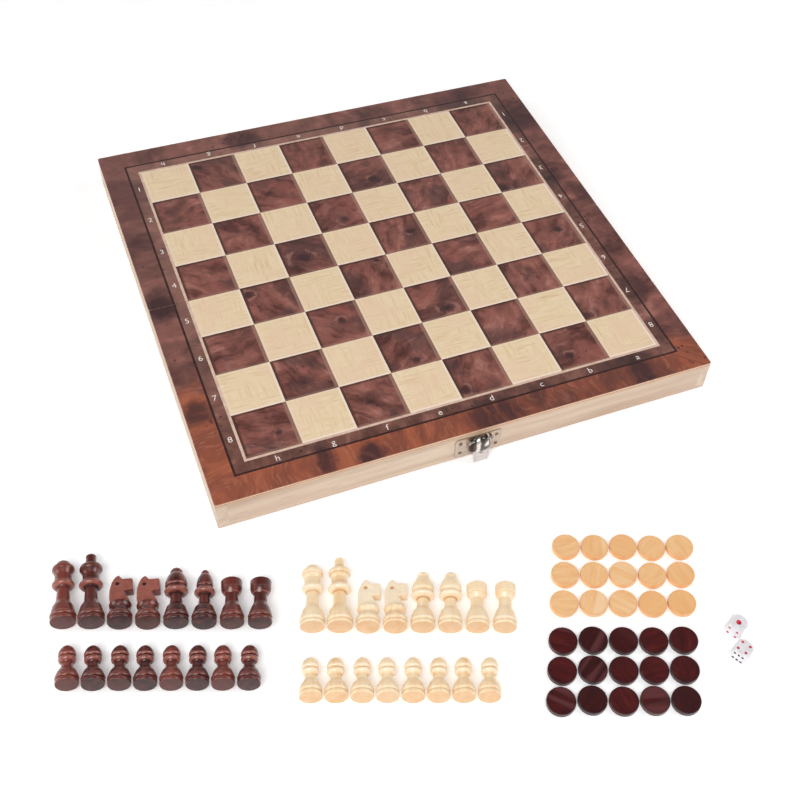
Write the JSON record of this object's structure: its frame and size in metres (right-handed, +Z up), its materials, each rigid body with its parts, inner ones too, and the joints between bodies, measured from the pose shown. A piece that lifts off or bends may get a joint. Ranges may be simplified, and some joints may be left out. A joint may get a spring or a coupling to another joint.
{
  "type": "folding games compendium box",
  "caption": "Hinged wooden games box that opens into a chess board with a backgammon board inside, with clasp, chessmen, draughts and dice laid out in front.",
  "frame": {"origin": "middle of the fold, on the line of the hinge pins, just above the face that the open box rests on", "axes": "+X along the fold to the right, seen from the clasp; -Y towards the clasp; +Z up, through the chess board"},
  "size_m": [0.4487, 0.5506, 0.0249],
  "materials": {
    "rail_wood": "satin lacquer",
    "panel_wood": "satin lacquer",
    "printed_sheet": "gloss lacquer over printed paper",
    "bright_steel": "bright nickel plate",
    "dark_wood": "gloss lacquer",
    "pale_wood": "satin lacquer",
    "pale_disc_wood": "satin lacquer",
    "dark_disc_wood": "gloss lacquer",
    "die_plastic": "polished"
  },
  "bodies": {
    "front_half": {"front_outer_rail": "rail_wood", "front_hinge_rail": "rail_wood", "front_left_rail": "rail_wood", "front_right_rail": "rail_wood", "front_panel": "panel_wood", "front_chess_print": "printed_sheet", "front_backgammon_print": "printed_sheet", "left_hinge_front_leaf": "bright_steel", "right_hinge_front_leaf": "bright_steel", "left_hinge_pin": "bright_steel", "right_hinge_pin": "bright_steel", "front_hinge_screws": "bright_steel", "clasp_plate": "bright_steel", "clasp_pin": "bright_steel", "clasp_nails": "bright_steel"},
    "rear_half": {"rear_outer_rail": "rail_wood", "rear_hinge_rail": "rail_wood", "rear_left_rail": "rail_wood", "rear_right_rail": "rail_wood", "rear_panel": "panel_wood", "rear_chess_print": "printed_sheet", "rear_backgammon_print": "printed_sheet", "left_hinge_rear_leaf": "bright_steel", "right_hinge_rear_leaf": "bright_steel", "rear_hinge_screws": "bright_steel", "catch_plate": "bright_steel", "catch_nails": "bright_steel"},
    "clasp_lever": {"clasp_lever": "bright_steel"},
    "dark_queen": {"dark_queen": "dark_wood"},
    "dark_king": {"dark_king": "dark_wood"},
    "dark_knight_1": {"dark_knight_1": "dark_wood"},
    "dark_knight_2": {"dark_knight_2": "dark_wood"},
    "dark_bishop_1": {"dark_bishop_1": "dark_wood"},
    "dark_bishop_2": {"dark_bishop_2": "dark_wood"},
    "dark_rook_1": {"dark_rook_1": "dark_wood"},
    "dark_rook_2": {"dark_rook_2": "dark_wood"},
    "dark_pawns": {"dark_pawns": "dark_wood"},
    "pale_queen": {"pale_queen": "pale_wood"},
    "pale_king": {"pale_king": "pale_wood"},
    "pale_knight_1": {"pale_knight_1": "pale_wood"},
    "pale_knight_2": {"pale_knight_2": "pale_wood"},
    "pale_bishop_1": {"pale_bishop_1": "pale_wood"},
    "pale_bishop_2": {"pale_bishop_2": "pale_wood"},
    "pale_rook_1": {"pale_rook_1": "pale_wood"},
    "pale_rook_2": {"pale_rook_2": "pale_wood"},
    "pale_pawns": {"pale_pawns": "pale_wood"},
    "pale_draughts_row_1": {"pale_draughts_row_1": "pale_disc_wood"},
    "pale_draughts_row_2": {"pale_draughts_row_2": "pale_disc_wood"},
    "pale_draughts_row_3": {"pale_draughts_row_3": "pale_disc_wood"},
    "dark_draughts_row_1": {"dark_draughts_row_1": "dark_disc_wood"},
    "dark_draughts_row_2": {"dark_draughts_row_2": "dark_disc_wood"},
    "dark_draughts_row_3": {"dark_draughts_row_3": "dark_disc_wood"},
    "die_showing_one": {"die_showing_one": "die_plastic"},
    "die_showing_four": {"die_showing_four": "die_plastic"}
  },
  "joints": [
    {"name": "fold", "type": "hinge", "parent": "front_half", "child": "rear_half", "pos_m": [0, 0, 0], "axis": [-1, 0, 0], "range_deg": [0, 180]},
    {"name": "clasp_turn", "type": "hinge", "parent": "front_half", "child": "clasp_lever", "pos_m": [0, -0.1736, 0.0176], "axis": [-1, 0, 0], "range_deg": [-9, 80]},
    {"name": "dark_queen_lift", "type": "slide", "parent": "front_half", "child": "dark_queen", "axis": [0, 0, 1], "range_m": [0, 0.06]},
    {"name": "dark_king_lift", "type": "slide", "parent": "front_half", "child": "dark_king", "axis": [0, 0, 1], "range_m": [0, 0.06]},
    {"name": "dark_knight_1_lift", "type": "slide", "parent": "front_half", "child": "dark_knight_1", "axis": [0, 0, 1], "range_m": [0, 0.06]},
    {"name": "dark_knight_2_lift", "type": "slide", "parent": "front_half", "child": "dark_knight_2", "axis": [0, 0, 1], "range_m": [0, 0.06]},
    {"name": "dark_bishop_1_lift", "type": "slide", "parent": "front_half", "child": "dark_bishop_1", "axis": [0, 0, 1], "range_m": [0, 0.06]},
    {"name": "dark_bishop_2_lift", "type": "slide", "parent": "front_half", "child": "dark_bishop_2", "axis": [0, 0, 1], "range_m": [0, 0.06]},
    {"name": "dark_rook_1_lift", "type": "slide", "parent": "front_half", "child": "dark_rook_1", "axis": [0, 0, 1], "range_m": [0, 0.06]},
    {"name": "dark_rook_2_lift", "type": "slide", "parent": "front_half", "child": "dark_rook_2", "axis": [0, 0, 1], "range_m": [0, 0.06]},
    {"name": "dark_pawns_lift", "type": "slide", "parent": "front_half", "child": "dark_pawns", "axis": [0, 0, 1], "range_m": [0, 0.06]},
    {"name": "pale_queen_lift", "type": "slide", "parent": "front_half", "child": "pale_queen", "axis": [0, 0, 1], "range_m": [0, 0.06]},
    {"name": "pale_king_lift", "type": "slide", "parent": "front_half", "child": "pale_king", "axis": [0, 0, 1], "range_m": [0, 0.06]},
    {"name": "pale_knight_1_lift", "type": "slide", "parent": "front_half", "child": "pale_knight_1", "axis": [0, 0, 1], "range_m": [0, 0.06]},
    {"name": "pale_knight_2_lift", "type": "slide", "parent": "front_half", "child": "pale_knight_2", "axis": [0, 0, 1], "range_m": [0, 0.06]},
    {"name": "pale_bishop_1_lift", "type": "slide", "parent": "front_half", "child": "pale_bishop_1", "axis": [0, 0, 1], "range_m": [0, 0.06]},
    {"name": "pale_bishop_2_lift", "type": "slide", "parent": "front_half", "child": "pale_bishop_2", "axis": [0, 0, 1], "range_m": [0, 0.06]},
    {"name": "pale_rook_1_lift", "type": "slide", "parent": "front_half", "child": "pale_rook_1", "axis": [0, 0, 1], "range_m": [0, 0.06]},
    {"name": "pale_rook_2_lift", "type": "slide", "parent": "front_half", "child": "pale_rook_2", "axis": [0, 0, 1], "range_m": [0, 0.06]},
    {"name": "pale_pawns_lift", "type": "slide", "parent": "front_half", "child": "pale_pawns", "axis": [0, 0, 1], "range_m": [0, 0.06]},
    {"name": "pale_draughts_row_1_lift", "type": "slide", "parent": "front_half", "child": "pale_draughts_row_1", "axis": [0, 0, 1], "range_m": [0, 0.06]},
    {"name": "pale_draughts_row_2_lift", "type": "slide", "parent": "front_half", "child": "pale_draughts_row_2", "axis": [0, 0, 1], "range_m": [0, 0.06]},
    {"name": "pale_draughts_row_3_lift", "type": "slide", "parent": "front_half", "child": "pale_draughts_row_3", "axis": [0, 0, 1], "range_m": [0, 0.06]},
    {"name": "dark_draughts_row_1_lift", "type": "slide", "parent": "front_half", "child": "dark_draughts_row_1", "axis": [0, 0, 1], "range_m": [0, 0.06]},
    {"name": "dark_draughts_row_2_lift", "type": "slide", "parent": "front_half", "child": "dark_draughts_row_2", "axis": [0, 0, 1], "range_m": [0, 0.06]},
    {"name": "dark_draughts_row_3_lift", "type": "slide", "parent": "front_half", "child": "dark_draughts_row_3", "axis": [0, 0, 1], "range_m": [0, 0.06]},
    {"name": "die_showing_one_lift", "type": "slide", "parent": "front_half", "child": "die_showing_one", "axis": [0, 0, 1], "range_m": [0, 0.06]},
    {"name": "die_showing_four_lift", "type": "slide", "parent": "front_half", "child": "die_showing_four", "axis": [0, 0, 1], "range_m": [0, 0.06]}
  ]
}
